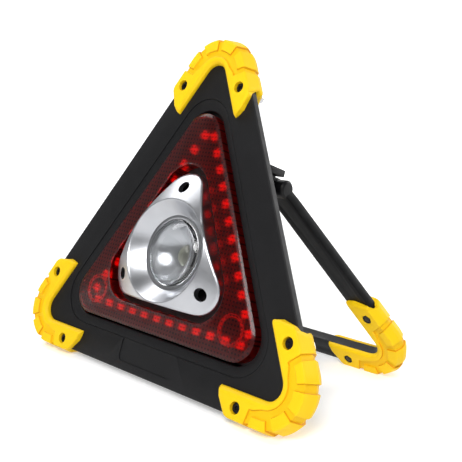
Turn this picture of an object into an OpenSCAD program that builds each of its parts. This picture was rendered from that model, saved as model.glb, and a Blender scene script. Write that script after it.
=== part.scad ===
// Triangular hazard and work light: a ring of red LEDs round a white spotlight,
// rubber corner guards, and a fold-out stand on the back.
// Body pieces are drawn in the body's own frame: X right, Y from the front face to the back,
// Z up the face, origin at the middle of the triangle. standing() leans them back onto the floor.

/* [Body] */
// Distance from the middle of the triangle to the centre of each corner's arc
corner_d = 106; // [104:1:108]
// Radius of the body's corners
body_r = 22.6; // [22:0.1:23]
// Depth of the straight edge of the front frame
edge_depth = 4.4; // [4:0.1:5]
// Depth of the body without its guards
body_depth = 26; // [25.5:0.1:26.5]
// Wall thickness of the rear shell
wall = 2; // [1.6:0.1:2.4]

/* [Light] */
// Distance from the middle to each side of the lamp opening
opening_a = 51; // [50.5:0.1:51.5]
// Corner radius of the lamp opening
opening_r = 14.7; // [14:0.1:15]
// Red LEDs along each side
leds_per_side = 12; // [8:1:12]
// Spacing of the red LEDs
led_pitch = 11.1; // [10:0.1:11.1]
// Radius of the spotlight's rim
rim_r = 31.1; // [30:0.1:31.2]
// Radius of the spotlight's lens
spot_r = 19.9; // [19:0.1:20]

/* [Corner guards] */
// Thickness of the guard in front of the face
guard_front = 4; // [3.6:0.1:4.4]
// Outer radius of the guard at its blocks
guard_r = 25.8; // [25.4:0.1:26.2]
// Depth of the grooves between the blocks
groove = 1.2; // [0.8:0.1:1.4]
// Width of the grooves between the blocks
groove_w = 3.4; // [3:0.1:4]

/* [Stand] */
// Distance of the hinge line behind the front face
hinge_y = 33; // [33:0.5:34]
// Height of the hinge line above the middle
hinge_z = 51.5; // [50:0.5:53]
// Angle between the stand and the body
stand_open = 44; // [40:1:48]
// Half the distance between the centres of the stand's corner arcs
foot_x = 79.8; // [79:0.1:81]
// Distance from the hinge line down to the centres of the corner arcs
foot_drop = 103.1; // [102:0.1:104]
// Radius of the stand frame's corners
bar_r = 21.9; // [21.5:0.1:22]
// Inner radius of the stand frame's corners
bar_inner_r = 8.5; // [8:0.1:9]
// Thickness of the stand frame
bar_t = 6; // [5.6:0.1:6.2]
// Thickness of a stand guard's flange
flange_t = 3; // [2.6:0.1:3]

/* [Hidden] */
$fn = 64;
HULL_FN = 32;
eps = 0.01;
trim = 0.12;
side_inset = 0.03;
gap = 0.15;

// Body
body_a = corner_d / 2 + body_r;
shell_slope = 0.926;
shell_top_r = body_r - (body_depth - edge_depth) * shell_slope;
frame_t = 2.4;
step_a = 56.7;
step_r = 19.4;
step_depth = 0.5;
lip_depth = 1.9;
label_w = 47;
label_h = 15;
label_z = -63;
label_depth = 0.4;

// Screws
m3_r = 1.5;
m3_clear_r = 1.7;
nut_af = 5.5;
nut_t = 2.4;
guard_screw_s = 23;
guard_screw_d = 100.7;
guard_head_r = 2.75;
guard_head_t = 1.8;
guard_bore_r = 3.35;
guard_head_y = -0.6;
guard_nut_y = 14.4;
guard_boss_r = 4.3;
guard_boss_y = 17.4;
case_corner_d = 95;
case_side_a = 63;
case_floor = 11.5;
case_head_r = 2.8;
case_head_t = 2;
case_bore_r = 3.2;

// Guard section, as distance out from the corner arc's centre and depth
guard_inner = 8.65;
band_out = 13.7;
block_in = 16.8;
crease_r = 23.4;
wide_y = 5;
rest_l = 4;
guard_back_y = 20;
guard_skin = 3;
guard_arm = 31.1;
arm_short = 20.8;
arm_short_y = 4.7;
block_span = 14;
pad_start = 28.7;
mid_r = 20;

// Lamp
lens_a = 49.5;
lens_r = 13.9;
lens_front = -2;
lens_bevel = 2.7;
lens_rise = 1.7;
lens_t = 1.8;
lens_back = 6.6;
cut_a = 35.8;
cut_r = 18.6;
cut_wall = 1.5;
flange_a = 52.7;
flange_r = 15.6;
board_y = 6.8;
board_t = 1.4;
board_a = 50;
board_r = 11.5;
board_hole_r = 25.5;
led_a = 39.6;
led_w = 4.2;
led_t = 1.3;
rim_y = -8.1;
lobe_slope = 0.47;
plate_a = 31.5;
plate_r = 14.6;
plate_back = 6.8;
plate_t = 1.5;
lobe_hole_d = 38.7;
lobe_hole_r = 3.75;
seat_r = 22.5;
ledge_y = 1.6;
ledge_r = 18.2;
throat_r = 8;
throat_y = 10.6;
tube_r = 24.2;
dome_h = 6.2;
emitter_r = 7;
emitter_t = 0.8;
spot_board_r = 17;
spot_board_t = 1.6;
spot_board_y = 11.4;
heat_r = 20;
heat_t = 3;

// Power
bay_x = 57.5;
bay_top = -22.4;
bay_bottom = -53.2;
bay_front = 8.4;
bay_wall = 1.2;
cell_r = 7.1;
cell_l = 50.5;
cell_y = body_depth - wall - cell_r - 0.1;
cell_rows = [-45.2, -30.4];
door_gap = 0.3;
tab_w = 14;
tab_h = 8;
tab_screw_z = bay_top + 4.6;
button_z = 34;
button_r = 7;
button_out = 1.6;
button_collar_r = 8.2;
button_hole_r = 7.3;
switch_z = button_z;
control_y = 16.4;
control_t = 1.4;
switch_w = 6;
switch_t = 3.4;

// Stand
lug_in = 30.5;
lug_out = 38;
lug_r = 6;
stop_out = 44.2;
stop_y = 29.3;
stop_z = [57.9, 61.8];
knuckle_in = 38.4;
knuckle_out = 45.4;
knuckle_r = 5.5;
knuckle_cap = 1.3;
pin_r = 2;
pin_fit = 0.05;
frame_top = 7.6;
guard_scale = 0.97;
stand_guard_r = 24.9;
stand_flat = 1.5;
stand_half = bar_t / 2 + flange_t;

// Standing attitude: the guards' widest edge and the stand guards' near edge both meet the floor
body_foot_z = -(corner_d / 2 + guard_r);
stand_foot_v = foot_drop + stand_guard_r;
stand_foot_y = hinge_y + stand_foot_v * sin(stand_open) - stand_flat * cos(stand_open);
stand_foot_z = hinge_z - stand_foot_v * cos(stand_open) - stand_flat * sin(stand_open);
lean = atan((stand_foot_z - body_foot_z) / (stand_foot_y - wide_y));
rest_angle = stand_open - lean;
stand_crease_r = stand_guard_r - (stand_half - stand_flat) * tan(rest_angle);
rise = wide_y * sin(lean) - body_foot_z * cos(lean);
front_reach = -guard_front * cos(lean) - (corner_d / 2 + crease_r) * sin(lean);
back_corner = [foot_drop + stand_crease_r, stand_half];
back_edge = [foot_drop + stand_guard_r, stand_flat];
function stand_reach(p) = hinge_y * cos(lean) + hinge_z * sin(lean)
    + p[0] * sin(rest_angle) + p[1] * cos(rest_angle);
back_reach = max(stand_reach(back_corner), stand_reach(back_edge));
shift = -(front_reach + back_reach) / 2;

// ---- placing ----

module standing() {
    translate([0, shift, rise]) rotate([-lean, 0, 0]) children();
}

module opened() {
    standing() translate([0, hinge_y, hinge_z]) rotate([stand_open, 0, 0]) children();
}

function dir(a) = [cos(a), sin(a)];

// A flat outline in X and Z, given depth from y0 to y1
module plate(y0, y1) {
    translate([0, y1, 0]) rotate([90, 0, 0]) linear_extrude(y1 - y0) children();
}

// A rod along Y at p = [x, z]
module rod(p, r, y0, y1, sides = $fn) {
    translate([p[0], y1, p[1]]) rotate([90, 0, 0]) cylinder(h = y1 - y0, r = r, $fn = sides);
}

module mirrored() {
    children();
    mirror([1, 0, 0]) children();
}

// ---- outlines ----

// Equilateral triangle, point up, a from its middle to each side, corners of radius r
module rounded_triangle(a, r) {
    polygon([for (k = [0:2], s = [-60, 60]) 2 * (a - r) * dir(90 + 120 * k) + (r - side_inset) * dir(90 + 120 * k + s)]);
    for (k = [0:2]) translate(2 * (a - r) * dir(90 + 120 * k)) circle(r);
}

// The same outline drawn with few sides, for blending
module soft_triangle(a, r) {
    hull() for (k = [0:2]) translate(2 * (a - r) * dir(90 + 120 * k)) circle(r, $fn = HULL_FN);
}

module frustum(a0, r0, y0, a1, r1, y1) {
    hull() {
        plate(y0, y0 + eps) soft_triangle(a0, r0);
        plate(y1 - eps, y1) soft_triangle(a1, r1);
    }
}

module rounded_box(w, h, r) {
    square([w - 2 * r, h], center = true);
    square([w, h - 2 * r], center = true);
    for (x = [-1, 1], z = [-1, 1]) translate([x * (w / 2 - r), z * (h / 2 - r)]) circle(r);
}

// ---- fastener places ----

function corner_dir(k) = dir(90 + 120 * k);
function side_dir(k) = dir(30 + 120 * k);
GUARD_SCREWS = [for (k = [0:2], s = [-1, 1])
    guard_screw_d * corner_dir(k) + s * guard_screw_s * dir(120 * k)];
CASE_SCREWS = concat(
    [for (k = [0:2]) case_corner_d * corner_dir(k)],
    [for (k = [0:2]) case_side_a * side_dir(k)]);
LOBE_HOLES = [for (k = [0:2]) lobe_hole_d * corner_dir(k)];

module hex_nut(p, y0) {
    difference() {
        rod(p, nut_af / 2 / cos(30), y0, y0 + nut_t, 6);
        rod(p, m3_r + eps, y0 - 1, y0 + nut_t + 1);
    }
}

module socket_screw(p, y_head, y_end, head_r, head_t) {
    difference() {
        union() {
            rod(p, head_r, y_head - head_t, y_head);
            rod(p, m3_r, y_head - eps, y_end);
        }
        rod(p, 1.44, y_head - head_t - 1, y_head - head_t + 1.2, 6);
    }
}

// ---- casing ----

module front_bezel() {
    color([0.17, 0.17, 0.18]) standing() difference() {
        union() {
            plate(0, frame_t) rounded_triangle(body_a, body_r);
            difference() {
                plate(frame_t - eps, edge_depth) rounded_triangle(body_a, body_r);
                plate(0, edge_depth + 1) rounded_triangle(body_a - 2.6, body_r - 2.6);
            }
            plate(frame_t - eps, edge_depth) rounded_triangle(opening_a + 2, opening_r + 2);
            for (p = GUARD_SCREWS) rod(p, 3.6, frame_t - eps, edge_depth);
            for (p = CASE_SCREWS) rod(p, 3.4, frame_t - eps, case_floor - wall);
        }
        plate(-1, edge_depth + 1) rounded_triangle(opening_a, opening_r);
        plate(-1, step_depth) rounded_triangle(step_a, step_r);
        frustum(step_a - trim, step_r - trim, step_depth - eps, opening_a + trim, opening_r + trim, lip_depth);
        translate([0, 0, label_z]) plate(-1, label_depth) rounded_box(label_w, label_h, 3);
        for (p = GUARD_SCREWS) rod(p, m3_clear_r, -1, edge_depth + 1);
        for (p = CASE_SCREWS) rod(p, m3_r + eps, frame_t, case_floor);
    }
}

module shell_outer() {
    frustum(body_a, body_r, edge_depth, corner_d / 2 + shell_top_r, shell_top_r, body_depth);
}

module shell_inner() {
    frustum(body_a - wall * 1.3, body_r - wall * 1.3, edge_depth - 1,
        corner_d / 2 + shell_top_r - wall * 0.6, shell_top_r - wall * 0.6, body_depth - wall);
}

module hinge_lug() {
    translate([lug_in, hinge_y, hinge_z]) rotate([90, 0, 90]) linear_extrude(lug_out - lug_in) {
        circle(lug_r);
        polygon([[-19, -5], [0, -lug_r], [0, lug_r], [-3.6, lug_r], [-7, 11], [-19, 11]]);
    }
}

// Block above a knuckle; the stand's leg rests on it when the stand is swung right up
module stand_stop() {
    translate([lug_out - 2, 14, stop_z[0]]) cube([stop_out - lug_out + 2, stop_y - 14, stop_z[1] - stop_z[0]]);
}

module bay_box(grow, y0, y1) {
    translate([-bay_x - grow, y0, bay_bottom - grow])
        cube([2 * (bay_x + grow), y1 - y0, bay_top - bay_bottom + 2 * grow]);
}

module door_outline(grow) {
    translate([0, (bay_top + bay_bottom) / 2])
        square([2 * (bay_x + grow), bay_top - bay_bottom + 2 * grow], center = true);
    translate([0, bay_top + tab_h / 2]) square([tab_w + 2 * grow, tab_h + 2 * grow], center = true);
}

module rear_shell() {
    color([0.15, 0.15, 0.16]) standing() difference() {
        union() {
            shell_outer();
            mirrored() hinge_lug();
            mirrored() stand_stop();
        }
        difference() {
            shell_inner();
            for (p = GUARD_SCREWS) rod(p, 3.6, 0, body_depth);
            for (p = CASE_SCREWS) rod(p, 4.4, case_floor - wall, body_depth);
            for (x = [-11, 11]) rod([x, button_z + 20], 2.5, control_y + control_t, body_depth);
            bay_box(bay_wall, bay_front, body_depth);
            translate([-tab_w / 2 - 2, body_depth - 10, bay_top]) cube([tab_w + 4, 10, tab_h + 2]);
        }
        bay_box(0, bay_front + bay_wall, body_depth + 1);
        plate(body_depth - wall, body_depth + 1) door_outline(door_gap);
        rod([0, tab_screw_z], 1.26, body_depth - 9, body_depth);
        rod([0, button_z], button_hole_r, body_depth - wall - 1, body_depth + 1);
        for (p = GUARD_SCREWS) rod(p, m3_clear_r, edge_depth - 1, body_depth + 1);
        for (p = CASE_SCREWS) {
            rod(p, m3_clear_r, 0, body_depth);
            rod(p, case_bore_r, case_floor, body_depth + 1);
        }
        translate([0, hinge_y, hinge_z]) rotate([0, 90, 0]) cylinder(h = 120, r = pin_r + eps, center = true);
    }
}

module case_screws() {
    color([0.1, 0.1, 0.1]) standing() for (p = CASE_SCREWS) difference() {
        union() {
            rod(p, case_head_r, case_floor, case_floor + case_head_t);
            rod(p, m3_r, frame_t + 0.6, case_floor + eps);
        }
        rod(p, 1.2, case_floor + 0.8, case_floor + case_head_t + 1, 6);
    }
}

// ---- corner guards ----
// Each guard is drawn about the centre of its corner's arc, pointing up, from a section of
// [distance out, depth] points: swept round the arc, then straight along the two sides.

module swept(section, arm) {
    rotate([-90, 0, 0]) rotate([0, 0, -150]) rotate_extrude(angle = 120) polygon(section);
    mirrored() rotate([0, 210, 0]) linear_extrude(arm) polygon(section);
}

// Outline of an arm's end, as [distance out, distance along]
module arm_end(s) {
    polygon(s * [[0, -1], [60, -1], [60, 5], [guard_r, 19.3], [22.4, 23.6], [14.5, 29.4], [8, guard_arm], [0, guard_arm]]);
}

// The space between the blocks: a channel along the inner band, and a groove either side of each block
module grooves(s, face, side, front, back) {
    channel = [[s * band_out, front - 1], [s * block_in, front - 1], [s * block_in, face], [s * band_out, face]];
    cut = [[s * band_out, front - 1], [60, front - 1], [60, back + 1], [side, back + 1], [side, face], [s * band_out, face]];
    turn = groove_w / mid_r * 180 / PI;
    pad = s * (pad_start - mid_r * PI / 3);
    swept(channel, pad);
    for (k = [-1:1]) rotate([-90, 0, 0]) rotate([0, 0, -90 + k * block_span / mid_r * 180 / PI - turn / 2])
        rotate_extrude(angle = turn) polygon(cut);
    mirrored() rotate([0, 210, 0]) translate([0, 0, pad - s * groove_w * 0.9])
        linear_extrude(s * groove_w * 0.9) polygon(cut);
}

module blocky_guard(section, s, arm, face, side, front, back) {
    difference() {
        intersection() {
            swept(section, arm + 2);
            union() {
                mirrored() rotate([0, 210, 0]) plate(front - 2, back + 2) arm_end(s);
                rotate([-90, 0, 0]) translate([0, 0, front - 2]) intersection() {
                    cylinder(h = back - front + 4, r = 60);
                    linear_extrude(back - front + 4) polygon([[0, 0], 70 * [cos(30), -sin(30)], [0, -80], 70 * [-cos(30), -sin(30)]]);
                }
            }
        }
        grooves(s, face, side, front, back);
    }
}

function shell_r(y) = body_r - (y - edge_depth) * shell_slope;

GUARD_SECTION = [
    [guard_inner, -gap / 2], [guard_inner + 0.4, -guard_front * 0.6], [guard_inner + 1.8, -guard_front * 0.92],
    [guard_inner + 3.4, -guard_front], [crease_r, -guard_front], [guard_r, wide_y],
    [guard_r - rest_l * tan(lean), wide_y + rest_l], [shell_r(guard_back_y) + guard_skin * 1.36, guard_back_y],
    [shell_r(guard_back_y) + gap * 2, guard_back_y], [body_r + gap * 2, edge_depth], [body_r + gap * 2, -gap / 2]
];

// The rear shell's tapered side with its clearance
SHELL_SPACE = [
    [2, edge_depth], [body_r + gap * 2, edge_depth],
    [shell_r(guard_back_y) + gap * 2, guard_back_y], [2, guard_back_y]
];

// One body guard, about its corner arc's centre; screws sit either side of the corner.
// Behind the frame's edge its arms stop short.
module body_guard() {
    screw_z = guard_screw_d - corner_d;
    places = [[-guard_screw_s, screw_z], [guard_screw_s, screw_z]];
    color([0.96, 0.84, 0.12]) difference() {
        union() {
            difference() {
                blocky_guard(GUARD_SECTION, 1, guard_arm, -guard_front + groove, guard_r - groove - 0.6,
                    -guard_front, guard_back_y);
                mirrored() rotate([0, 210, 0]) plate(arm_short_y, 30) translate([0, arm_short]) square([40, 20]);
            }
            difference() {
                for (p = places) rod(p, guard_boss_r, wide_y + rest_l, guard_boss_y);
                swept(SHELL_SPACE, guard_arm);
            }
        }
        for (p = places) {
            rod(p, m3_clear_r, -10, 30);
            rod(p, guard_bore_r, -10, guard_head_y);
            rod(p, (nut_af / 2 + 0.1) / cos(30), guard_nut_y, 30, 6);
        }
    }
}

module at_corner(k) {
    standing() rotate([0, -120 * k, 0]) translate([0, 0, corner_d]) children();
}

module guard_top() {
    at_corner(0) body_guard();
}

module guard_left() {
    at_corner(1) body_guard();
}

module guard_right() {
    at_corner(2) body_guard();
}

module guard_screws() {
    color([0.08, 0.08, 0.09]) standing() for (p = GUARD_SCREWS)
        socket_screw(p, guard_head_y, guard_nut_y + nut_t, guard_head_r, guard_head_t);
}

module guard_nuts() {
    color([0.2, 0.2, 0.21]) standing() for (p = GUARD_SCREWS) hex_nut(p, guard_nut_y);
}

// ---- lamp ----

module red_lens() {
    top = lens_front + lens_rise;
    color([0.55, 0.04, 0.07, 0.7]) standing() difference() {
        union() {
            frustum(lens_a - lens_bevel, lens_r - lens_bevel, lens_front, lens_a - trim, lens_r - trim, top + eps);
            plate(top, lens_back) rounded_triangle(lens_a, lens_r);
            plate(edge_depth + gap, lens_back) rounded_triangle(flange_a, flange_r);
        }
        difference() {
            plate(lens_front + lens_t, lens_back + 1) rounded_triangle(lens_a - lens_t, lens_r - lens_t);
            plate(lens_front, lens_back + 2) rounded_triangle(cut_a + cut_wall, cut_r + cut_wall);
        }
        plate(lens_front - 1, lens_back + 1) rounded_triangle(cut_a, cut_r);
    }
}

module led_board() {
    color([0.1, 0.1, 0.1]) standing() difference() {
        plate(board_y, board_y + board_t) rounded_triangle(board_a, board_r);
        rod([0, 0], board_hole_r, board_y - 1, board_y + board_t + 1);
        for (p = LOBE_HOLES) rod(p, m3_clear_r, board_y - 1, board_y + board_t + 1);
    }
}

module red_leds() {
    half_row = (leds_per_side - 1) / 2;
    color([0.9, 0.08, 0.1]) standing() for (k = [0:2], i = [-half_row:half_row]) {
        p = led_a * side_dir(k) + i * led_pitch * dir(120 + 120 * k);
        translate([p[0], board_y - led_t, p[1]]) rotate([0, -120 * k - 30, 0])
            translate([-led_w / 2, 0, -led_w / 2]) cube([led_w, led_t, led_w]);
    }
}

// Revolves [radius, depth] points about the lamp's axis
module turned() {
    rotate([-90, 0, 0]) rotate_extrude() children();
}

function lobe_y(r) = rim_y + (r - rim_r) * lobe_slope;

module reflector_plate() {
    tip = 60;
    color([0.82, 0.83, 0.84]) standing() difference() {
        intersection() {
            plate(rim_y - 1, throat_y + 1) rounded_triangle(plate_a, plate_r);
            turned() polygon([
                [throat_r, throat_y], [throat_r, throat_y - 1], [ledge_r, ledge_y], [seat_r - 2.3, ledge_y],
                [seat_r - 2.3, 0], [seat_r, 0], [rim_r - 0.8, rim_y], [rim_r, rim_y],
                [tip, lobe_y(tip)], [tip, plate_back], [tube_r, plate_back], [throat_r + 4, throat_y]
            ]);
        }
        intersection() {
            plate(rim_y - 1, throat_y + 1) rounded_triangle(plate_a - plate_t, plate_r - plate_t);
            turned() polygon([
                [tube_r + 1.2, 0.6], [rim_r + 0.4, rim_y + 2.4], [tip, lobe_y(tip) + plate_t],
                [tip, plate_back + 1], [tube_r + 1.2, plate_back + 1]
            ]);
        }
        for (p = LOBE_HOLES) rod(p, lobe_hole_r, rim_y, plate_back + 1);
    }
}

module reflector_screws() {
    color([0.12, 0.12, 0.13]) standing() for (p = LOBE_HOLES) difference() {
        union() {
            rod(p, 2.7, board_y - 1.8, board_y - gap);
            rod(p, 1.25, board_y - 1, bay_front - 0.3);
        }
        rod(p, 1, board_y - 3, board_y - 1, 6);
    }
}

module spot_lens() {
    ball = (spot_r * spot_r + dome_h * dome_h) / (2 * dome_h);
    color([0.85, 0.9, 0.93, 0.5]) standing() intersection() {
        translate([0, ball - dome_h, 0]) sphere(ball, $fn = 96);
        rod([0, 0], spot_r, -dome_h - 1, ledge_y - gap);
    }
}

module spot_emitter() {
    color([0.95, 0.85, 0.3]) standing()
        rod([0, 0], emitter_r, spot_board_y - emitter_t, spot_board_y);
}

module spot_board() {
    color([0.8, 0.8, 0.78]) standing()
        rod([0, 0], spot_board_r, spot_board_y, spot_board_y + spot_board_t);
}

module heat_plate() {
    back = spot_board_y + spot_board_t;
    color([0.7, 0.71, 0.72]) standing() rod([0, 0], heat_r, back, back + heat_t);
}

// ---- power ----

module control_board() {
    color([0.1, 0.35, 0.2]) standing() translate([-15, control_y, button_z - 10]) cube([30, control_t, 34]);
}

module tact_switch() {
    color([0.12, 0.12, 0.12]) standing() {
        translate([-switch_w / 2, control_y + control_t, switch_z - switch_w / 2])
            cube([switch_w, switch_t - 1, switch_w]);
        rod([0, switch_z], 1.6, control_y + control_t + switch_t - 1 - eps, control_y + control_t + switch_t);
    }
}

module power_button() {
    color([0.8, 0.1, 0.1]) standing() {
        rod([0, button_z], button_r, body_depth - wall - 0.2 - eps, body_depth + button_out);
        rod([0, button_z], button_collar_r, body_depth - wall - 1.4, body_depth - wall - 0.2);
    }
}

module battery_door() {
    color([0.15, 0.15, 0.16]) standing() difference() {
        plate(body_depth - wall + 0.1, body_depth) door_outline(0);
        rod([0, tab_screw_z], m3_clear_r, body_depth - 5, body_depth + 1);
        for (i = [-2:2]) translate([i * 6 - 1, body_depth - 0.6, bay_bottom + 4]) cube([2, 1, 12]);
    }
}

module door_screw() {
    color([0.1, 0.1, 0.1]) standing() difference() {
        union() {
            rod([0, tab_screw_z], 2.6, body_depth, body_depth + 0.9);
            rod([0, tab_screw_z], 1.25, body_depth - 8, body_depth + eps);
        }
        rod([0, tab_screw_z], 1.1, body_depth + 0.3, body_depth + 2, 6);
    }
}

module along_x(x0, x1, r, z) {
    translate([x0, cell_y, z]) rotate([0, 90, 0]) cylinder(h = x1 - x0, r = r);
}

module battery_cells() {
    color([0.2, 0.45, 0.25]) standing() for (z = cell_rows, x = [-cell_l - 1.2, 1.2]) {
        along_x(x, x + cell_l - 1.4, cell_r, z);
        along_x(x + cell_l - 1.4 - eps, x + cell_l, 2.7, z);
    }
}

module contact_springs() {
    coil_x = -bay_x + 0.6;
    color([0.75, 0.75, 0.72]) standing() for (z = cell_rows) {
        difference() {
            along_x(coil_x, -cell_l - 1.3, 4, z);
            along_x(coil_x - 1, 0, 3.2, z);
        }
    }
}

module contact_plates() {
    color([0.75, 0.75, 0.72]) standing() for (z = cell_rows, x = [-bay_x, bay_x - 0.5])
        translate([x, cell_y - 5, z - 5]) cube([0.5, 10, 10]);
}

// ---- hinge and stand ----
// Stand pieces are drawn folded flat, about the hinge line, hanging down -Z.

module hinge_pins() {
    color([0.6, 0.6, 0.62]) standing() mirrored() translate([lug_in, hinge_y, hinge_z])
        rotate([0, 90, 0]) cylinder(h = knuckle_out - lug_in - 0.4, r = pin_r);
}

// Half-width of a leg's edge at a height, where r is the edge's distance out from the corner arc's centre
function leg_x(r, z) = foot_x + r * cos(30) - (z + foot_drop - r * sin(30)) * tan(30);

module stand_outline(r) {
    polygon([
        [-foot_x, -foot_drop - r], [foot_x, -foot_drop - r],
        [foot_x + r * cos(30), -foot_drop + r * sin(30)], [leg_x(r, -frame_top), -frame_top],
        [-leg_x(r, -frame_top), -frame_top], [-foot_x - r * cos(30), -foot_drop + r * sin(30)]
    ]);
    for (x = [-foot_x, foot_x]) translate([x, -foot_drop]) circle(r);
}

module stand_frame() {
    color([0.13, 0.13, 0.14]) opened() difference() {
        union() {
            difference() {
                plate(-bar_t / 2, bar_t / 2) stand_outline(bar_r);
                plate(-bar_t, bar_t) stand_outline(bar_inner_r);
                translate([-50, -bar_t, -frame_top]) cube([100, 2 * bar_t, 2]);
            }
            mirrored() {
                plate(-bar_t / 2, bar_t / 2) polygon([
                    [knuckle_in, 0], [knuckle_out - 0.5, 0], [leg_x(bar_r, -frame_top), -frame_top],
                    [leg_x(bar_r, -frame_top) + 1, -frame_top - 2], [knuckle_in, -frame_top - 2]
                ]);
                translate([knuckle_in, 0, 0]) rotate([0, 90, 0]) {
                    cylinder(h = knuckle_out - knuckle_in, r = knuckle_r);
                    translate([0, 0, knuckle_out - knuckle_in])
                        cylinder(h = knuckle_cap, r1 = knuckle_r, r2 = knuckle_r - knuckle_cap);
                }
            }
        }
        mirrored() translate([lug_in, 0, 0]) rotate([0, 90, 0])
            cylinder(h = knuckle_out - lug_in, r = pin_r + pin_fit);
        for (p = STAND_SCREWS) rod(p, m3_clear_r, -bar_t, bar_t);
    }
}

STAND_SCREWS = [for (side = [-1, 1], s = [-1, 1])
    [side * foot_x, -foot_drop]
    + guard_scale * ((guard_screw_d - corner_d) * dir(270 + side * 60) + s * guard_screw_s * dir(side * 60))];

STAND_SECTION = [
    [bar_inner_r, -bar_t / 2 - gap / 2], [bar_inner_r + 0.4, -stand_half + 0.9], [bar_inner_r + 1.6, -stand_half],
    [stand_crease_r, -stand_half],
    [stand_guard_r, -stand_flat], [stand_guard_r, stand_flat],
    [stand_crease_r, stand_half],
    [bar_inner_r + 1.6, stand_half], [bar_inner_r + 0.4, stand_half - 0.9], [bar_inner_r, bar_t / 2 + gap / 2],
    [bar_r + gap, bar_t / 2 + gap / 2], [bar_r + gap, -bar_t / 2 - gap / 2]
];

module stand_guard() {
    screw_z = (guard_screw_d - corner_d) * guard_scale;
    screw_x = guard_screw_s * guard_scale;
    color([0.96, 0.84, 0.12]) difference() {
        blocky_guard(STAND_SECTION, guard_scale, guard_arm * guard_scale, -stand_half + groove,
            stand_guard_r - groove, -stand_half, stand_half);
        for (x = [-screw_x, screw_x]) {
            rod([x, screw_z], m3_clear_r, -10, 10);
            rod([x, screw_z], (nut_af / 2 + 0.1) / cos(30), -10, -stand_half + 2.6, 6);
            rod([x, screw_z], guard_bore_r, stand_half - 2.2, 10);
        }
    }
}

module stand_guard_left() {
    opened() translate([-foot_x, 0, -foot_drop]) rotate([0, -120, 0]) stand_guard();
}

module stand_guard_right() {
    opened() translate([foot_x, 0, -foot_drop]) rotate([0, 120, 0]) stand_guard();
}

module stand_screws() {
    color([0.08, 0.08, 0.09]) opened() for (p = STAND_SCREWS) difference() {
        union() {
            rod(p, guard_head_r, stand_half - 2.2, stand_half - 0.4);
            rod(p, m3_r, -stand_half + 0.2, stand_half - 2.2 + eps);
        }
        rod(p, 1.44, stand_half - 1.6, stand_half + 1, 6);
    }
}

module stand_nuts() {
    color([0.2, 0.2, 0.21]) opened() for (p = STAND_SCREWS) hex_nut(p, -stand_half + 0.2);
}

front_bezel();
rear_shell();
case_screws();
guard_top();
guard_left();
guard_right();
guard_screws();
guard_nuts();
red_lens();
led_board();
red_leds();
reflector_plate();
reflector_screws();
spot_lens();
spot_emitter();
spot_board();
heat_plate();
control_board();
tact_switch();
power_button();
battery_door();
door_screw();
battery_cells();
contact_springs();
contact_plates();
hinge_pins();
stand_frame();
stand_guard_left();
stand_guard_right();
stand_screws();
stand_nuts();
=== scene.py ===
import math

import bmesh
import bpy
import numpy as np
from mathutils import Matrix, Vector


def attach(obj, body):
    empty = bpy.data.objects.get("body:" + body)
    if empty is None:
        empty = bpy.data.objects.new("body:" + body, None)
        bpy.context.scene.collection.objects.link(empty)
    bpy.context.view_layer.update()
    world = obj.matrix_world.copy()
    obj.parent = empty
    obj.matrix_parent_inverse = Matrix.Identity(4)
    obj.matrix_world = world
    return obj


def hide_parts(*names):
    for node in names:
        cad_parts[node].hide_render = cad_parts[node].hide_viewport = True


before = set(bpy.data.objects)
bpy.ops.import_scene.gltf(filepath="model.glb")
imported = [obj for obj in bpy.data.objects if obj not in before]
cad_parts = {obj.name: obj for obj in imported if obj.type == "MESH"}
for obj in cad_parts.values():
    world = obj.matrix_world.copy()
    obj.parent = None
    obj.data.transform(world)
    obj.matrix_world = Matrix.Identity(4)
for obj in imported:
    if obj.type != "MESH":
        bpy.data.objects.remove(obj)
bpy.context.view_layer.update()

MM = 0.001
sin, cos, tan, rad = math.sin, math.cos, math.tan, math.radians

# ---------------------------------------------------------------- frame
# The body is drawn in its own panel frame (x right, y front to back, z up the face, mm);
# PANEL leans it back onto the floor, STAND is the stand's hinge frame (hanging along -z when folded).
LEAN, RISE, SHIFT = rad(17.7960728), 76.5575973, -40.4641205
HINGE_Y, HINGE_Z, OPEN = 33.0, 51.5, rad(44.0)
PANEL = Matrix.Translation((0, SHIFT * MM, RISE * MM)) @ Matrix.Rotation(-LEAN, 4, "X")
STAND = PANEL @ Matrix.Translation((0, HINGE_Y * MM, HINGE_Z * MM)) @ Matrix.Rotation(OPEN, 4, "X")
CORNER, BODY_R = 106.0, 22.6


def rot_y(deg):
    return Matrix.Rotation(rad(deg), 4, "Y")


# ---------------------------------------------------------------- mesh helpers
def make(name, verts, faces, home, body, mat, replaces=(), sharp=32, local=None):
    """A piece from points in mm in the frame `home`; local moves the points inside that frame."""
    me = bpy.data.meshes.new(name)
    place = home @ local if local is not None else home
    me.from_pydata([place @ (Vector(v) * MM) for v in verts], [], faces)
    me.validate()
    me.update()
    bm = bmesh.new()
    bm.from_mesh(me)
    bmesh.ops.recalc_face_normals(bm, faces=bm.faces)
    bm.to_mesh(me)
    bm.free()
    ob = bpy.data.objects.new(name, me)
    bpy.context.scene.collection.objects.link(ob)
    finish_piece(ob, body, mat, replaces, sharp)
    return ob


def finish_piece(ob, body, mat, replaces=(), sharp=32):
    shade(ob.data, sharp)
    ob.data.materials.clear()
    ob.data.materials.append(mat)
    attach(ob, body)
    if replaces:
        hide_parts(*replaces)


def shade(me, sharp):
    for p in me.polygons:
        p.use_smooth = True
    me.set_sharp_from_angle(angle=rad(sharp))


def apply_mods(ob, sharp=32):
    bpy.context.view_layer.update()
    dg = bpy.context.evaluated_depsgraph_get()
    me = bpy.data.meshes.new_from_object(ob.evaluated_get(dg), depsgraph=dg)
    ob.modifiers.clear()
    old = ob.data
    ob.data = me
    bpy.data.meshes.remove(old)
    shade(me, sharp)


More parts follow.
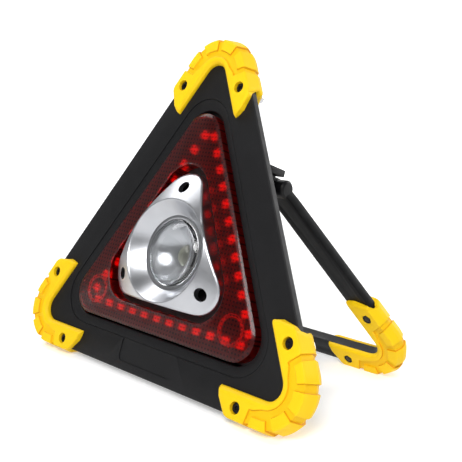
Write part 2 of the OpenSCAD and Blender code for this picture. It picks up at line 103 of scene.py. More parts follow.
def cut(ob, verts, faces, place=PANEL, sharp=32):
    """Takes a closed cutter, given in mm in the frame `place`, out of ob."""
    me = bpy.data.meshes.new("cutter")
    me.from_pydata([place @ (Vector(v) * MM) for v in verts], [], faces)
    bm = bmesh.new()
    bm.from_mesh(me)
    bmesh.ops.recalc_face_normals(bm, faces=bm.faces)
    bm.to_mesh(me)
    bm.free()
    c = bpy.data.objects.new("cutter", me)
    bpy.context.scene.collection.objects.link(c)
    mod = ob.modifiers.new("cut", "BOOLEAN")
    mod.operation, mod.solver, mod.object = "DIFFERENCE", "EXACT", c
    apply_mods(ob, sharp)
    bpy.data.objects.remove(c)


def prism(points, y0, y1):
    """Closed prism along y from an outline of (x, z)."""
    n = len(points)
    v = [(x, y0, z) for x, z in points] + [(x, y1, z) for x, z in points]
    f = [list(range(n)), list(range(2 * n - 1, n - 1, -1))]
    f += [[i, (i + 1) % n, n + (i + 1) % n, n + i] for i in range(n)]
    return v, f


def circle(cx, cz, r, n=48, turn=0):
    return [(cx + r * cos(turn + 2 * math.pi * i / n), cz + r * sin(turn + 2 * math.pi * i / n)) for i in range(n)]


def several(parts):
    v, f = [], []
    for pv, pf in parts:
        k = len(v)
        v += pv
        f += [[i + k for i in face] for face in pf]
    return v, f


def tri_outline(a, r, seg=20, side=8):
    """Rounded triangle outline of (x, z): a from the middle to each side, corner radius r."""
    pts = []
    for k in range(3):
        d = rad(90 + 120 * k)
        c = (2 * (a - r) * cos(d), 2 * (a - r) * sin(d))
        for i in range(seg + 1):
            t = d - rad(60) + rad(120) * i / seg
            pts.append((c[0] + r * cos(t), c[1] + r * sin(t)))
        d2 = rad(90 + 120 * (k + 1))
        c2 = (2 * (a - r) * cos(d2), 2 * (a - r) * sin(d2))
        p = pts[-1]
        q = (c2[0] + r * cos(d2 - rad(60)), c2[1] + r * sin(d2 - rad(60)))
        for i in range(1, side):
            pts.append((p[0] + (q[0] - p[0]) * i / side, p[1] + (q[1] - p[1]) * i / side))
    return pts


def ring_stack(levels, seg=20, side=8, closed=True):
    """Skin through levels of (a, r, y); closed joins the last level to the first."""
    v, f = [], []
    for a, r, y in levels:
        v += [(x, y, z) for x, z in tri_outline(a, r, seg, side)]
    n = len(v) // len(levels)
    m = len(levels) if closed else len(levels) - 1
    for j in range(m):
        k = (j + 1) % len(levels)
        f += [[j * n + i, j * n + (i + 1) % n, k * n + (i + 1) % n, k * n + i] for i in range(n)]
    return v, f


def lathe(profile, n=96, centre=(0, 0), closed=False):
    """Turns (radius, y) points about the y axis; a radius of 0 closes the end."""
    v, f, rows = [], [], []
    for r, y in profile:
        if r < 1e-6:
            rows.append([len(v)])
            v.append((centre[0], y, centre[1]))
        else:
            rows.append(list(range(len(v), len(v) + n)))
            v += [(centre[0] + r * cos(2 * math.pi * i / n), y, centre[1] + r * sin(2 * math.pi * i / n)) for i in range(n)]
    pairs = list(zip(rows, rows[1:]))
    if closed:
        pairs.append((rows[-1], rows[0]))
    for a, b in pairs:
        for i in range(n):
            j = (i + 1) % n
            if len(a) == 1 and len(b) == 1:
                continue
            if len(a) == 1:
                f.append([a[0], b[j], b[i]])
            elif len(b) == 1:
                f.append([a[i], a[j], b[0]])
            else:
                f.append([a[i], a[j], b[j], b[i]])
    return v, f


def fillet(poly, radii, step):
    """An open polyline with rounded corners, sampled no coarser than step(x, y). Returns points and each corner's index."""
    pts, marks = [np.array(poly[0], float)], [0]
    for i in range(1, len(poly) - 1):
        p, q, s = (np.array(x, float) for x in (poly[i - 1], poly[i], poly[i + 1]))
        u, w = (p - q) / np.linalg.norm(p - q), (s - q) / np.linalg.norm(s - q)
        half = math.acos(max(-1, min(1, float(u @ w)))) / 2
        r = radii[i]
        if r <= 0 or half > rad(89.5):
            pts.append(q)
            marks.append(len(pts) - 1)
            continue
        d = r / tan(half)
        a, b = q + u * d, q + w * d
        c = q + (u + w) / np.linalg.norm(u + w) * r / sin(half)
        n = 4
        arc = []
        for k in range(n + 1):
            m = a + (b - a) * k / n
            arc.append(c + (m - c) / np.linalg.norm(m - c) * r)
        pts += arc
        marks.append(len(pts) - 1 - n // 2)
    pts.append(np.array(poly[-1], float))
    marks.append(len(pts) - 1)
    out, idx = [pts[0]], {0: 0}
    for i in range(1, len(pts)):
        mid = (pts[i] + pts[i - 1]) / 2
        n = max(1, math.ceil(np.linalg.norm(pts[i] - pts[i - 1]) / step(*mid)))
        for k in range(1, n + 1):
            out.append(pts[i - 1] + (pts[i] - pts[i - 1]) * k / n)
        idx[i] = len(out) - 1
    return np.array(out), [idx[m] for m in marks]


def smooth(lo, hi, x):
    t = np.clip((x - lo) / (hi - lo), 0, 1)
    return t * t * (3 - 2 * t)


# ---------------------------------------------------------------- materials
def material(name, base, rough=0.5, **extra):
    m = bpy.data.materials.new(name)
    m.use_nodes = True
    b = m.node_tree.nodes["Principled BSDF"]
    b.inputs["Base Color"].default_value = (*base, 1)
    b.inputs["Roughness"].default_value = rough
    for k, v in extra.items():
        b.inputs[k.replace("_", " ")].default_value = v
    return m


def nodes_of(m):
    t = m.node_tree
    return t.nodes, t.links, t.nodes["Principled BSDF"]


def coords(m):
    """Object coordinates turned into the panel frame, so that patterns lie along the face."""
    n, l, _ = nodes_of(m)
    tc = n.new("ShaderNodeTexCoord")
    mp = n.new("ShaderNodeMapping")
    mp.inputs["Location"].default_value = PANEL.inverted().translation
    mp.inputs["Rotation"].default_value = (LEAN, 0, 0)
    l.new(tc.outputs["Object"], mp.inputs["Vector"])
    return mp.outputs["Vector"]


def noise(m, vec, scale, detail=2.0, rough=0.5):
    n, l, _ = nodes_of(m)
    t = n.new("ShaderNodeTexNoise")
    t.inputs["Scale"].default_value = scale
    t.inputs["Detail"].default_value = detail
    t.inputs["Roughness"].default_value = rough
    l.new(vec, t.inputs["Vector"])
    return t.outputs["Fac"]


def ramp(m, fac, stops):
    n, l, _ = nodes_of(m)
    r = n.new("ShaderNodeValToRGB")
    e = r.color_ramp.elements
    while len(e) < len(stops):
        e.new(0.5)
    for i, (p, c) in enumerate(stops):
        e[i].position = p
        e[i].color = (*c, 1) if len(c) == 3 else c
    l.new(fac, r.inputs["Fac"])
    return r.outputs["Color"]


def span(m, fac, a, b, c, d):
    n, l, _ = nodes_of(m)
    r = n.new("ShaderNodeMapRange")
    for k, v in zip(("From Min", "From Max", "To Min", "To Max"), (a, b, c, d)):
        r.inputs[k].default_value = v
    l.new(fac, r.inputs["Value"])
    return r.outputs["Result"]


def maths(m, operation, a, b):
    """A maths node; b may be a number or another node's output."""
    n, l, _ = nodes_of(m)
    k = n.new("ShaderNodeMath")
    k.operation = operation
    l.new(a, k.inputs[0])
    if isinstance(b, float):
        k.inputs[1].default_value = b
    else:
        l.new(b, k.inputs[1])
    return k.outputs[0]


def bump(m, height, strength, distance, normal=None):
    n, l, b = nodes_of(m)
    k = n.new("ShaderNodeBump")
    k.inputs["Strength"].default_value = strength
    k.inputs["Distance"].default_value = distance
    l.new(height, k.inputs["Height"])
    if normal is not None:
        l.new(normal, k.inputs["Normal"])
    l.new(k.outputs["Normal"], b.inputs["Normal"])
    return k.outputs["Normal"]


def grained(name, base, rough, grain=2600, depth=0.00006, tint=0.12, strength=0.5, **extra):
    """Moulded plastic or rubber: fine surface grain, faint cloudy colour and gloss changes."""
    m = material(name, base, rough, **extra)
    n, l, b = nodes_of(m)
    vec = coords(m)
    cloud = noise(m, vec, 38, 4.0, 0.6)
    lo = tuple(c * (1 - tint) for c in base)
    hi = tuple(min(1, c * (1 + tint)) for c in base)
    l.new(ramp(m, cloud, [(0.3, lo), (0.7, hi)]), b.inputs["Base Color"])
    fine = noise(m, vec, grain, 3.0, 0.65)
    l.new(span(m, noise(m, vec, 160, 3.0), 0.3, 0.7, rough - 0.05, rough + 0.06), b.inputs["Roughness"])
    bump(m, fine, strength, depth)
    return m


BLACK = grained("casing_black", (0.0072, 0.0072, 0.008), 0.5, grain=2300, depth=0.00012, strength=0.8,
                Specular_IOR_Level=0.22)
BLACK_STAND = grained("stand_black", (0.0032, 0.0032, 0.0038), 0.38, grain=1800, depth=0.00007, strength=0.5,
                      Specular_IOR_Level=0.24)
YELLOW = grained("guard_yellow", (0.83, 0.535, 0.006), 0.5, grain=1500, depth=0.00004, tint=0.03, strength=0.35,
                 Specular_IOR_Level=0.16)


def paint_groove_shade(m, colour):
    """Mixes the base colour towards a deeper orange where the mesh's groove attribute says so: painted shade on groove
    walls and floors.
    """
    n, l, b = nodes_of(m)
    mark = n.new("ShaderNodeAttribute")
    mark.attribute_name = "groove"
    mix = n.new("ShaderNodeMix")
    mix.data_type = "RGBA"
    next(k for k in mix.inputs if k.name == "B" and k.type == "RGBA").default_value = (*colour, 1)
    plain = b.inputs["Base Color"].links[0].from_socket
    l.new(mark.outputs["Fac"], mix.inputs["Factor"])
    l.new(plain, next(k for k in mix.inputs if k.name == "A" and k.type == "RGBA"))
    l.new(next(k for k in mix.outputs if k.type == "RGBA"), b.inputs["Base Color"])


# painted shade: the yellow guards' groove walls and floors are coloured deep orange
paint_groove_shade(YELLOW, (0.62, 0.21, 0.003))
SCREW = grained("screw_black", (0.01, 0.01, 0.012), 0.32, grain=3000, depth=0.00003, Metallic=0.4)
STEEL = grained("zinc_steel", (0.6, 0.6, 0.62), 0.34, grain=2200, depth=0.00003, Metallic=1.0)
ALU = grained("plain_aluminium", (0.72, 0.73, 0.75), 0.38, grain=1500, depth=0.00004, Metallic=1.0)
BOARD = grained("board_dark", (0.03, 0.027, 0.027), 0.45, grain=900, depth=0.00003)
BOARD_WHITE = grained("board_white", (0.7, 0.7, 0.68), 0.4, grain=900, depth=0.00003)
BOARD_GREEN = grained("board_green", (0.03, 0.16, 0.07), 0.4, grain=900, depth=0.00003)
# painted shade: the stand nuts are coloured near-black so the hex pockets read as dark holes
NUT_PAINTED_SHADE = grained("nut_painted_shade", (0.006, 0.005, 0.004), 0.5, grain=2200, depth=0.00003, Specular_IOR_Level=0.2)
# the lens ribs glow faintly red: painted light, they are no lamp
RIB_PAINTED_GLOW = grained("lens_rib", (0.5, 0.02, 0.015), 0.4, grain=900, depth=0.00002, Emission_Color=(1.0, 0.04, 0.02, 1),
              Emission_Strength=0.35)
RUBBER = grained("button_rubber", (0.03, 0.03, 0.032), 0.62, grain=2000, depth=0.00007)
CELL = grained("cell_sleeve", (0.05, 0.16, 0.07), 0.35, grain=700, depth=0.00002)
EMITTER = grained("emitter", (0.85, 0.83, 0.62), 0.5, grain=3000, depth=0.00003)


def silver():
    """Vacuum-coated reflector: satin silver with faint turning marks and cloudy gloss."""
    m = material("reflector_silver", (0.62, 0.63, 0.65), 0.32, Metallic=1.0)
    n, l, b = nodes_of(m)
    vec = coords(m)
    l.new(span(m, noise(m, vec, 60, 3.0), 0.3, 0.7, 0.28, 0.36), b.inputs["Roughness"])
    l.new(ramp(m, noise(m, vec, 30, 3.0), [(0.3, (0.44, 0.45, 0.475)), (0.7, (0.56, 0.57, 0.595))]), b.inputs["Base Color"])
    bump(m, noise(m, vec, 700, 3.0), 0.2, 0.00003)
    return m


def red_plastic():
    """Clear red moulding: a glossy coat over a body that blurs what is behind it, with a fine grid of darker dots."""
    m = material("lens_red", (0.44, 0.009, 0.008), 0.33, IOR=1.22, Transmission_Weight=0.95, Coat_Weight=0.2,
                 Coat_Roughness=0.02, Specular_IOR_Level=0.06)
    n, l, b = nodes_of(m)
    sep = n.new("ShaderNodeSeparateXYZ")
    l.new(coords(m), sep.inputs["Vector"])
    waves = []
    for axis in ("X", "Z"):
        turns = maths(m, "MULTIPLY", sep.outputs[axis], math.pi / 0.0024)
        waves.append(maths(m, "ABSOLUTE", maths(m, "SINE", turns, 0.0), 0.0))
    dots = maths(m, "MULTIPLY", waves[0], waves[1])
    l.new(ramp(m, dots, [(0.62, (0.44, 0.009, 0.008)), (0.86, (0.1, 0.003, 0.003))]), b.inputs["Base Color"])
    bump(m, dots, 0.012, 0.0002)
    return m


def led_red():
    m = material("led_red", (0.9, 0.04, 0.03), 0.3, Emission_Color=(1.0, 0.05, 0.02, 1), Emission_Strength=1.6)
    n, l, b = nodes_of(m)
    vec = coords(m)
    l.new(ramp(m, noise(m, vec, 900, 2.0), [(0.3, (0.75, 0.03, 0.02)), (0.7, (1.0, 0.07, 0.04))]), b.inputs["Base Color"])
    return m


def clear():
    m = material("lens_clear", (0.97, 0.98, 0.985), 0.015, IOR=1.47, Transmission_Weight=1.0)
    bump(m, noise(m, coords(m), 90, 2.0), 0.05, 0.00005)
    return m


SILVER, RED, LED, CLEAR = silver(), red_plastic(), led_red(), clear()

# ---------------------------------------------------------------- corner guards
RAIL_S = 20.944  # half the arc's length at 20 mm from its centre
ARM_SHORT = 20.8


def guard_relief(s, rho, k=1.0):
    """How deep the grooves are, 0 on the band, blocks and end pads, 1 in the grooves. k is the guard's scale."""
    a, r = np.abs(s) / k, rho / k
    lean_t = (r - 20) * 0.2
    soft = 0.2

    def inside(d):
        return smooth(-soft, soft, d)

    arm = smooth(RAIL_S - 2, RAIL_S + 6, a)
    band_edge = 13.1 + 2.0 * arm
    band = inside(band_edge - r)
    inner = np.minimum(np.minimum(a - 1.7, 12.1 - a), r - 16.9)
    outer = np.minimum(np.minimum(a - 15.9, RAIL_S + 4.8 + lean_t - a), r - 18.2)
    pad = a - (RAIL_S + 8.0 + lean_t)
    top = np.maximum(np.maximum(inside(inner), inside(outer)), np.maximum(inside(pad), band))
    return 1 - top


def arm_end(rho, k=1.0):
    return k * np.interp(rho / k, [8, 8.65, 14.5, 22.4, 25.8], [31.1, 31.1, 29.4, 23.6, 19.3])


def guard_mesh(outer, radii, keys, inner, mask, k=1.0, depth=1.3, short_y=99.0):
    """Sweeps a section round the corner and along both arms, with relief.
    outer: section polyline; keys: its corners matched to the inner polyline's points; mask(rho, y): where relief shows."""
    O, marks = fillet(outer, radii, lambda r, y: 0.27 if r > 12 and y < 9.5 else 0.9)
    I = np.zeros_like(O)
    ends = [marks[q] for q in keys]
    for (i0, i1), (p, q) in zip(zip(ends, ends[1:]), zip(inner, inner[1:])):
        seg = np.linalg.norm(np.diff(O[i0:i1 + 1], axis=0), axis=1)
        t = np.concatenate([[0], np.cumsum(seg)]) / seg.sum()
        I[i0:i1 + 1] = np.array(p) + t[:, None] * (np.array(q) - np.array(p))
    T = np.gradient(O, axis=0)
    N = np.stack([-T[:, 1], T[:, 0]], 1)
    N /= np.linalg.norm(N, axis=1)[:, None]
    mid = np.array([17 * k, 8.0 if O[-1, 1] > 10 else 0.0])
    if np.sum((O - mid) * N) < 0:
        N = -N
    m = mask(O[:, 0], O[:, 1])
    e_near = [0.0, 0.12, 0.35, 0.7, 1.1, 1.6, 2.1, 2.6]
    round_s = list(np.arange(-RAIL_S, RAIL_S + 0.01, RAIL_S / 26))
    for edge in (1.7, 12.1, 15.9):
        near = np.arange(-0.36, 0.37, 0.12)
        round_s += list(edge + near) + list(-edge + near)
    round_s = sorted(set(round(float(v), 4) for v in round_s))
    cols = []
    for side in (-1, 1):
        arm = [(side, "q", q) for q in np.linspace(0, 1, 84, endpoint=False)[1:]] + [(side, "e", e) for e in e_near[::-1]]
        cols.append(arm)
    path = cols[0][::-1] + [(0, "a", v) for v in round_s] + cols[1]
    nrow = len(O)
    V, F, painted_groove_shade = [], [], []

    def position(side, kind, val, P, is_outer):
        rho, y = P[:, 0], P[:, 1]
        end = np.where(O[:, 1] > short_y, np.minimum(arm_end(O[:, 0], k), ARM_SHORT), arm_end(O[:, 0], k))
        if kind == "a":
            s = np.full(nrow, val * k)
            phi = val / 20.0
            x, z = rho * sin(phi), rho * cos(phi)
            e = np.full(nrow, 99.0)
            tt = None
        else:
            tt = val * (end - 2.6) if kind == "q" else end - val
            s = side * (RAIL_S * k + tt)
            x = side * (rho * sin(rad(60)) + tt * cos(rad(60)))
            z = rho * cos(rad(60)) - tt * sin(rad(60))
            e = end - tt
        if is_outer:
            relief = guard_relief(s, O[:, 0], k) * m
            # painted shade in the grooves: strongest on the walls, weaker on the floors
            painted_groove_shade.extend(np.clip(3.2 * relief * (1 - relief) + 0.15 * relief, 0, 1))
            painted_groove_shade.extend([0.0] * nrow)
            d = depth * relief
            u = np.clip(e / 2.6, 0, 1)
            room = np.linalg.norm(O - I, axis=1)
            roll = np.minimum(1.5, room * 0.45) * (1 - np.sqrt(np.clip(1 - (1 - u) ** 2, 0, 1)))
            off = d + roll
            rho, y = O[:, 0] - N[:, 0] * off, O[:, 1] - N[:, 1] * off
            if kind == "a":
                x, z = rho * sin(phi), rho * cos(phi)
            else:
                x = side * (rho * sin(rad(60)) + tt * cos(rad(60)))
                z = rho * cos(rad(60)) - tt * sin(rad(60))
        return np.stack([x, y, z], 1)

    for side, kind, val in path:
        V += [tuple(p) for p in position(side, kind, val, O, True)]
        V += [tuple(p) for p in position(side, kind, val, I, False)]
    w = 2 * nrow
    for i in range(len(path) - 1):
        a, b = i * w, (i + 1) * w
        for j in range(nrow - 1):
            F.append([a + j, a + j + 1, b + j + 1, b + j])
            F.append([a + nrow + j, b + nrow + j, b + nrow + j + 1, a + nrow + j + 1])
        F.append([a, b, b + nrow, a + nrow])
        F.append([a + nrow - 1, a + w - 1, b + w - 1, b + nrow - 1])
    for a in (0, (len(path) - 1) * w):
        for j in range(nrow - 1):
            F.append([a + j, a + nrow + j, a + nrow + j + 1, a + j + 1])
    return V, F, painted_groove_shade


def store_groove_shade(ob, values):
    """Keeps how much each point lies on a groove's wall or floor, for the painted shade coloured there."""
    ob.data.attributes.new("groove", "FLOAT", "POINT").data.foreach_set("value", values)


def shell_r(y):
    return BODY_R - (y - 4.4) * 0.926


BODY_OUTER = [(8.65, -0.45), (8.95, -2.1), (10.4, -3.8), (12.4, -4.0), (23.5, -4.0), (25.8, 4.9),
              (25.8 - 4.1 * tan(LEAN), 9.0), (shell_r(20) + 4.08, 19.0), (shell_r(20) + 2.6, 20.0), (shell_r(20) + 0.9, 20.0)]
BODY_RADII = [0, 1.2, 2.0, 1.2, 0.9, 0.9, 1.5, 0.6, 0.5, 0]
BODY_INNER = [(8.75, -0.08), (22.9, -0.08), (22.9, 4.4), (shell_r(20) + 0.35, 19.9)]
body_v, body_f, body_g = guard_mesh(BODY_OUTER, BODY_RADII, [0, 4, 5, 9], BODY_INNER,
                            lambda r, y: smooth(11.5, 12.6, r) * (1 - smooth(9.5, 12.0, y)), short_y=4.7)
SCREW_X, SCREW_Z = 23.0, 100.7 - CORNER
for k, name in enumerate(("top", "left", "right")):
    place = rot_y(-120 * k) @ Matrix.Translation((0, 0, CORNER * MM))
    g = make(f"guard_{name}_cover", body_v, body_f, PANEL, "housing", YELLOW, local=place, sharp=50)
    store_groove_shade(g, body_g)
    bores = [prism(circle(x, SCREW_Z, 3.35), -9, -0.6) for x in (-SCREW_X, SCREW_X)]
    bv, bf = several(bores)
    cut(g, bv, bf, PANEL @ place, sharp=38)
    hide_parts(f"guard_{name}")

SG = 0.97
half, s_crease = 6.0, 22.685342
STAND_OUTER = [(8.5, -3.5), (8.8, -4.9), (10.0, -5.9), (11.6, -6.0), (s_crease, -6.0), (24.9, -1.5), (24.9, 1.5),
               (s_crease, 6.0), (11.6, 6.0), (10.0, 5.9), (8.8, 4.9), (8.5, 3.5)]
STAND_RADII = [0, 0.8, 1.0, 0.8, 0.6, 0.6, 0.6, 0.6, 0.8, 1.0, 0.8, 0]
STAND_INNER = [(8.6, -3.08), (22.05, -3.08), (22.05, 3.08), (8.6, 3.08)]
stand_v, stand_f, stand_g = guard_mesh(STAND_OUTER, STAND_RADII, [0, 4, 7, 11], STAND_INNER,
                              lambda r, y: smooth(11.2, 12.2, r), k=SG, depth=1.15)
for side, name in ((-1, "left"), (1, "right")):
    place = Matrix.Translation((side * 79.8 * MM, 0, -103.1 * MM)) @ rot_y(side * 120)
    g = make(f"stand_guard_{name}_cover", stand_v, stand_f, STAND, "stand", YELLOW, local=place, sharp=50)
    store_groove_shade(g, stand_g)
    parts = []
    for x in (-SCREW_X * SG, SCREW_X * SG):
        parts.append(prism(circle(x, SCREW_Z * SG, 2.85 / cos(rad(30)), 6, rad(30 if x > 0 else -30)), -9, -3.4))
        parts.append(prism(circle(x, SCREW_Z * SG, 3.35), 3.8, 9))
    bv, bf = several(parts)
    cut(g, bv, bf, STAND @ place, sharp=38)
    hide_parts(f"stand_guard_{name}")

# ---------------------------------------------------------------- front bezel
bezel_v, bezel_f = ring_stack([
    (75.6, 22.6, 4.35), (75.6, 22.6, 0.7), (75.5, 22.5, 0.32), (75.25, 22.25, 0.08), (74.9, 21.9, 0.0),
    (57.2, 19.9, 0.0), (56.95, 19.65, 0.1), (56.85, 19.55, 0.3), (56.8, 19.5, 0.75), (56.45, 19.15, 0.75),
    (56.35, 19.05, 0.56), (56.1, 18.8, 0.5), (51.6, 15.3, 1.78), (51.2, 14.9, 1.98), (51.0, 14.7, 2.3), (51.0, 14.7, 4.35),
    (53.0, 16.7, 4.35), (53.0, 16.7, 2.45), (73.0, 20.0, 2.45), (73.0, 20.0, 4.35)], seg=24, side=10)
bezel = make("front_bezel_face", bezel_v, bezel_f, PANEL, "housing", BLACK, ["front_bezel"], sharp=40)


def round_rect(cx, cz, w, h, r, n=8):
    pts = []
    for qx, qz, t0 in ((1, 1, 0), (-1, 1, 90), (-1, -1, 180), (1, -1, 270)):
        for i in range(n + 1):
            t = rad(t0 + 90 * i / n)
            pts.append((cx + qx * (w / 2 - r) + r * cos(t), cz + qz * (h / 2 - r) + r * sin(t)))
    return pts


lv, lf = prism(round_rect(0, -63, 47, 15, 3), -2, 0.4)
cut(bezel, lv, lf, sharp=40)

# ---------------------------------------------------------------- lens
outer_lens = [(49.5, 13.9, 5.9), (49.5, 13.9, -0.2), (49.35, 13.75, -0.55), (47.6, 12.0, -1.75), (46.9, 11.3, -2.0),
              (37.6, 20.4, -2.0), (36.9, 19.7, -2.25), (36.1, 18.9, -2.5), (35.8, 18.6, -2.3), (35.8, 18.6, 5.9),
              (37.3, 20.1, 5.9), (37.3, 20.1, 0.6), (38.3, 21.1, -0.2), (46.4, 10.8, -0.2), (47.7, 12.1, 0.6), (47.7, 12.1, 5.9)]
lens_v, lens_f = ring_stack(outer_lens, seg=24, side=12)
make("red_lens_cover", lens_v, lens_f, PANEL, "housing", RED, ["red_lens"], sharp=30)

# Round ribs moulded behind the lens in its two lower corners, with a faint painted red glow
rib_section = [(7.3, -0.3), (7.3, 0.9), (7.7, 0.9), (7.7, -0.3)]
rib_outer = [(8.6, -0.3), (8.6, 0.6), (8.95, 0.6), (8.95, -0.3)]
ribs = []
for k in (1, 2):
    middle = (66.5 * cos(rad(90 + 120 * k)), 66.5 * sin(rad(90 + 120 * k)))
    ribs += [lathe(rib_section, 64, middle, closed=True), lathe(rib_outer, 64, middle, closed=True)]
rib_v, rib_f = several(ribs)
make("red_lens_ribs", rib_v, rib_f, PANEL, "housing", RIB_PAINTED_GLOW, sharp=30)

# ---------------------------------------------------------------- reflector and spot lens
NT = 288


def outline_r(theta, a, r):
    """Distance from the middle to a rounded triangle's edge in the direction theta."""
    d = (theta - math.pi / 2 + math.pi / 3) % (2 * math.pi / 3) - math.pi / 3
    c = 2 * (a - r)
    flat = a / cos(math.pi / 3 - abs(d))
    disc = r * r - (c * sin(d)) ** 2
    arc = c * cos(d) + math.sqrt(disc) if disc > 0 else 0
    side_x = c + r * cos(math.pi / 3)
    side_y = r * sin(math.pi / 3)
    return arc if abs(math.atan2(side_y, side_x)) > abs(d) else flat


def lobe_y(r):
    return -8.1 + (r - 31.1) * 0.47


rv, rf, rows = [], [], None
for i in range(NT):
    th = 2 * math.pi * i / NT
    R = outline_r(th, 31.5, 14.6)
    path = [(20.3, 0.9), (20.4, 0.25), (21.0, 0.0), (22.5, 0.0)]
    for q in np.linspace(0, 1, 15)[1:]:
        path.append((22.5 + 7.7 * q, -7.9 * (0.82 * q + 0.18 * q * q)))
    path += [(30.5, -8.08), (30.8, -8.1), (31.1, -8.0)]
    last = max(R - 0.9, 31.15)
    for q in np.linspace(0, 1, 12)[1:]:
        r = 31.1 + (last - 31.1) * q
        path.append((r, lobe_y(r) + 0.12))
    y1 = lobe_y(R)
    path += [(R - 0.45 if R - 0.45 > last else last + 0.02, y1 + 0.18), (R - 0.1, y1 + 0.5), (R, y1 + 1.0), (R, 2.0), (R, 6.7)]
    Ri = R - 1.5
    path += [(Ri, 6.7), (Ri, 2.0), (Ri, max(y1 + 2.2, -5.0)), (29.2, -4.6), (25.8, -0.6), (24.2, 1.5), (20.3, 1.5)]
    rows = len(path)
    rv += [(r * cos(th), y, r * sin(th)) for r, y in path]
for i in range(NT):
    j = (i + 1) % NT
    for k in range(rows):
        k2 = (k + 1) % rows
        rf.append([i * rows + k, i * rows + k2, j * rows + k2, j * rows + k])
refl = make("reflector_dish", rv, rf, PANEL, "housing", SILVER, ["reflector_plate"], sharp=45)
holes = [prism(circle(38.7 * cos(rad(90 + 120 * k)), 38.7 * sin(rad(90 + 120 * k)), 3.7), -12, 6.0) for k in range(3)]
hv, hf = several(holes)
cut(refl, hv, hf, sharp=40)

# cone and throat below the lens
cup = [(20.2, 1.65), (19.4, 1.75), (17.6, 2.3), (14.5, 4.8), (11.5, 7.4), (9.0, 9.3), (8.0, 9.6), (8.0, 10.5),
       (12.0, 10.5), (16.0, 8.2), (22.0, 4.0), (24.1, 1.9)]
cv, cf = lathe(cup, 96, closed=True)
make("reflector_cup", cv, cf, PANEL, "housing", SILVER, sharp=40)

ball = (19.9 ** 2 + 6.2 ** 2) / (2 * 6.2)
dome = [(0, -6.2)]
for i in range(1, 25):
    r = 19.35 * i / 24
    dome.append((r, ball - 6.2 - math.sqrt(ball * ball - r * r)))
dome += [(19.7, 0.05), (19.9, 0.3), (19.9, 1.3), (19.6, 1.45), (12.0, 1.45), (6.0, 1.45), (0, 1.45)]
dv, df = lathe(dome, 128)
make("spot_lens_dome", dv, df, PANEL, "housing", CLEAR, ["spot_lens"], sharp=40)


# ---------------------------------------------------------------- refined copies of CAD pieces
def refined(node, body, mat, width=0.35, segments=2, sharp=35, angle=28):
    """A CAD node with clean faces and softened edges, standing for the node."""
    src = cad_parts[node].data
    bm = bmesh.new()
    bm.from_mesh(src)
    bmesh.ops.remove_doubles(bm, verts=bm.verts, dist=2e-6)
    bmesh.ops.dissolve_limit(bm, angle_limit=rad(0.6), verts=bm.verts, edges=bm.edges)
    me = bpy.data.meshes.new(node + "_skin")
    bm.to_mesh(me)
    bm.free()
    ob = bpy.data.objects.new(node + "_skin", me)
    bpy.context.scene.collection.objects.link(ob)
    mod = ob.modifiers.new("edges", "BEVEL")
    mod.width, mod.segments, mod.limit_method, mod.angle_limit = width * MM, segments, "ANGLE", rad(angle)
    mod.use_clamp_overlap = True
    mod.miter_outer = "MITER_ARC"
    apply_mods(ob, sharp)
    finish_piece(ob, body, mat, [node], sharp)
    return ob


refined("rear_shell", "housing", BLACK, 0.4)
refined("battery_door", "housing", BLACK, 0.3)
refined("power_button", "button", RUBBER, 0.5, 3)
refined("case_screws", "housing", SCREW, 0.15)
refined("door_screw", "housing", SCREW, 0.15)
refined("guard_screws", "housing", SCREW, 0.28, 3)
refined("guard_nuts", "housing", STEEL, 0.12)
refined("stand_screws", "stand", SCREW, 0.28, 3)
refined("stand_nuts", "stand", NUT_PAINTED_SHADE, 0.12)
refined("hinge_pins", "housing", STEEL, 0.3)
refined("reflector_screws", "housing", SCREW, 0.2)
refined("stand_frame", "stand", BLACK_STAND, 0.9, 3)

def leg_lines():
    """A fine moulding line along the inner side of each leg, a little behind its middle."""
    foot_x, drop, inner = 79.8, 103.1, 8.5
    slope = tan(rad(30))

    def leg_x(v, r):
        return foot_x + r * cos(rad(30)) - (drop - r * 0.5 - v) * slope

    parts = []
    for side in (-1, 1):
        pts = [(side * leg_x(v, r), -v) for v, r in ((11, inner - 1), (90, inner - 1), (90, inner + 0.3), (11, inner + 0.3))]
        parts.append(prism(pts, -0.9, -0.5))
    return several(parts)


line_v, line_f = leg_lines()
cut(bpy.data.objects["stand_frame_skin"], line_v, line_f, STAND, sharp=35)

for node, mat in {
    "led_board": BOARD, "red_leds": LED, "spot_emitter": EMITTER, "spot_board": BOARD_WHITE, "heat_plate": ALU,
    "control_board": BOARD_GREEN, "tact_switch": BOARD, "battery_cells": CELL, "contact_springs": STEEL,
    "contact_plates": STEEL,
}.items():
    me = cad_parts[node].data
    me.materials.clear()
    me.materials.append(mat)

# ---------------------------------------------------------------- stage, light, camera
def floor_pale():
    """Pale matt floor that glows behind the object, so that the sweep stays white, and less beside and before it."""
    m = grained("floor_pale", (0.8, 0.8, 0.8), 0.8, grain=40, depth=0.0001, tint=0.01,
                Emission_Color=(1, 1, 1, 1), Specular_IOR_Level=0.1)
    n, l, b = nodes_of(m)
    tc = n.new("ShaderNodeTexCoord")
    far = n.new("ShaderNodeVectorMath")
    far.operation = "LENGTH"
    l.new(tc.outputs["Object"], far.inputs[0])
    glow = span(m, far.outputs["Value"], 0.35, 1.3, 0.3, 0.86)
    sep = n.new("ShaderNodeSeparateXYZ")
    l.new(tc.outputs["Object"], sep.inputs["Vector"])
    depth = maths(m, "MAXIMUM", maths(m, "ADD", sep.outputs["Y"], 0.6), 0.01)
    aside = maths(m, "ABSOLUTE", maths(m, "DIVIDE", sep.outputs["X"], depth), 0.0)
    mask = maths(m, "MINIMUM", span(m, aside, 0.4, 0.75, 1.0, 0.28), span(m, sep.outputs["Y"], -0.6, -0.4, 0.28, 1.0))
    l.new(maths(m, "MULTIPLY", glow, mask), b.inputs["Emission Strength"])
    return m


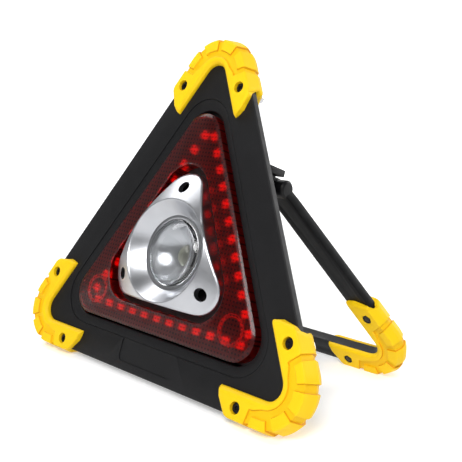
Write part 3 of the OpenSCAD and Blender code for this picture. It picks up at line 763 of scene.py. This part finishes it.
def backdrop():
    """A pale sweep: floor, curve and wall, with a little glow so that it stays white to the edge."""
    v, f = [], []
    prof = [(-8.0, 0.0), (2.5, 0.0)]
    for i in range(1, 17):
        t = rad(90 * i / 16)
        prof.append((2.5 + 2.5 * sin(t), 2.5 - 2.5 * cos(t)))
    prof.append((5.0, 12.0))
    for y, z in prof:
        v += [(-14.0, y, z), (14.0, y, z)]
    for i in range(len(prof) - 1):
        f.append([2 * i, 2 * i + 1, 2 * i + 3, 2 * i + 2])
    me = bpy.data.meshes.new("backdrop")
    me.from_pydata(v, [], f)
    ob = bpy.data.objects.new("backdrop", me)
    bpy.context.scene.collection.objects.link(ob)
    for p in me.polygons:
        p.use_smooth = True
    me.materials.append(floor_pale())
    ob.rotation_euler = (0, 0, rad(41))


backdrop()


def area(name, loc, target, size, power, colour=(1, 1, 1)):
    li = bpy.data.lights.new(name, "AREA")
    li.shape, li.size, li.size_y, li.energy, li.color = "RECTANGLE", size[0], size[1], power, colour
    ob = bpy.data.objects.new(name, li)
    bpy.context.scene.collection.objects.link(ob)
    ob.location = loc
    ob.rotation_euler = (Vector(target) - Vector(loc)).to_track_quat("-Z", "Y").to_euler()
    return ob


centre = (0, 0, 0.1)
area("key", (0.6, -1.0, 1.0), centre, (0.7, 0.7), 20).data.shape = "DISK"
area("top_left", (-0.95, -0.1, 1.3), centre, (0.8, 0.8), 9)
area("rim", (0.6, 1.3, 0.65), centre, (0.5, 0.9), 13)

world = bpy.data.worlds.new("studio")
world.use_nodes = True
world.node_tree.nodes["Background"].inputs["Color"].default_value = (1, 1, 1, 1)
world.node_tree.nodes["Background"].inputs["Strength"].default_value = 0.18
bpy.context.scene.world = world
bpy.context.scene.view_settings.view_transform = "Standard"

cam = bpy.data.cameras.new("camera")
cam.lens, cam.sensor_width = 59.8, 36.0
cam_ob = bpy.data.objects.new("camera", cam)
bpy.context.scene.collection.objects.link(cam_ob)
right = Vector((0.73203505, 0.63730485, 0.24076383))
up = -Vector((0.14597775, 0.19846354, -0.96917631))
fwd = Vector((-0.6654436, 0.74461719, 0.05224994))
rot = Matrix((right, up, -fwd)).transposed().to_4x4()
cam_ob.matrix_world = PANEL @ Matrix.Translation(Vector((323.7, -317.0, -3.1)) * MM) @ rot
cam.clip_start, cam.clip_end = 0.01, 50
bpy.context.scene.camera = cam_ob
